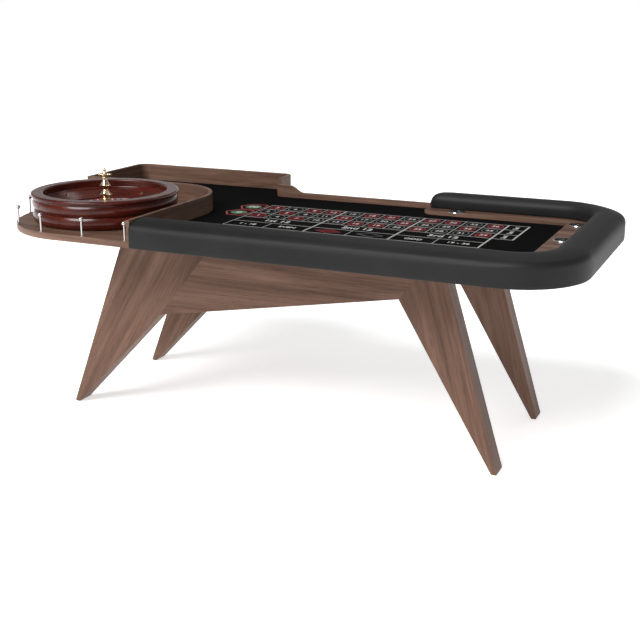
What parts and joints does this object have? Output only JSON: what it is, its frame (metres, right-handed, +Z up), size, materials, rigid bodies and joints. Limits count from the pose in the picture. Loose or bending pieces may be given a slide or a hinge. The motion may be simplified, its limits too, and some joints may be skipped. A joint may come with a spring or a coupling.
{
  "type": "roulette table",
  "caption": "Walnut roulette table on two splayed panel trestles, with a black padded rail, printed black layout, cup ledge and a lift-off mahogany wheel with a spinning rotor.",
  "frame": {"origin": "on the floor, under the middle of the table top's outline", "axes": "+X along the table, away from the wheel; +Y towards the dealer; +Z up"},
  "size_m": [2.476, 1.295, 1.04],
  "materials": {
    "walnut": "oiled satin",
    "layout_cloth": "woven wool cloth with printed layout",
    "rail_leather": "matte grained upholstery",
    "core_board": "raw plywood",
    "polished_steel": "polished",
    "glide_plastic": "matte",
    "plain_steel": "zinc plated",
    "mahogany": "high gloss lacquer",
    "pad_rubber": "matte",
    "gold_brass": "polished",
    "spun_aluminium": "turned",
    "pocket_enamel": "gloss enamel",
    "number_enamel": "gloss enamel",
    "ball_plastic": "polished white"
  },
  "bodies": {
    "table": {"bracket_screws": "plain_steel", "cross_rail_centre": "walnut", "cross_rail_left": "walnut", "cross_rail_right": "walnut", "cup_holder_1": "polished_steel", "cup_holder_2": "polished_steel", "cup_holder_3": "polished_steel", "cup_holder_4": "polished_steel", "cup_holder_5": "polished_steel", "cup_holder_6": "polished_steel", "cup_holder_7": "polished_steel", "deck_left": "walnut", "deck_right": "walnut", "divider_wall": "walnut", "felt_layout": "layout_cloth", "foot_glides": "glide_plastic", "front_apron": "walnut", "front_left_leg": "walnut", "front_right_leg": "walnut", "gallery_post_1": "polished_steel", "gallery_post_2": "polished_steel", "gallery_post_3": "polished_steel", "gallery_post_4": "polished_steel", "gallery_post_5": "polished_steel", "gallery_post_6": "polished_steel", "gallery_post_7": "polished_steel", "guard_wall": "walnut", "ledge_back": "walnut", "ledge_end": "walnut", "ledge_front": "walnut", "rail_brackets": "plain_steel", "rail_core": "core_board", "rail_pad": "rail_leather", "rear_apron": "walnut", "rear_left_leg": "walnut", "rear_right_leg": "walnut", "recess_wall": "walnut"},
    "wheel": {"wheel_bowl": "mahogany", "wheel_base_plate": "core_board", "wheel_pads": "pad_rubber", "spindle": "plain_steel", "spindle_nut": "plain_steel", "ball_deflectors": "gold_brass"},
    "rotor": {"rotor_pan": "spun_aluminium", "pocket_ring": "pocket_enamel", "fret_ring": "gold_brass", "number_ring": "number_enamel", "rotor_cone": "mahogany", "hub_sleeve": "plain_steel", "lower_bearing": "plain_steel", "upper_bearing": "plain_steel", "hub_cap": "gold_brass", "turret": "gold_brass", "turret_handles": "gold_brass", "turret_finial": "gold_brass"},
    "ball": {"roulette_ball": "ball_plastic"}
  },
  "joints": [
    {"name": "wheel_lift", "type": "slide", "parent": "table", "child": "wheel", "axis": [0, 0, 1], "range_m": [0, 0.2]},
    {"name": "rotor_spin", "type": "hinge", "parent": "wheel", "child": "rotor", "pos_m": [-0.81, -0.271, 0.86], "axis": [0, 0, 1], "continuous": true},
    {"name": "ball_orbit", "type": "hinge", "parent": "wheel", "child": "ball", "pos_m": [-0.81, -0.271, 0.927], "axis": [0, 0, 1], "continuous": true}
  ]
}
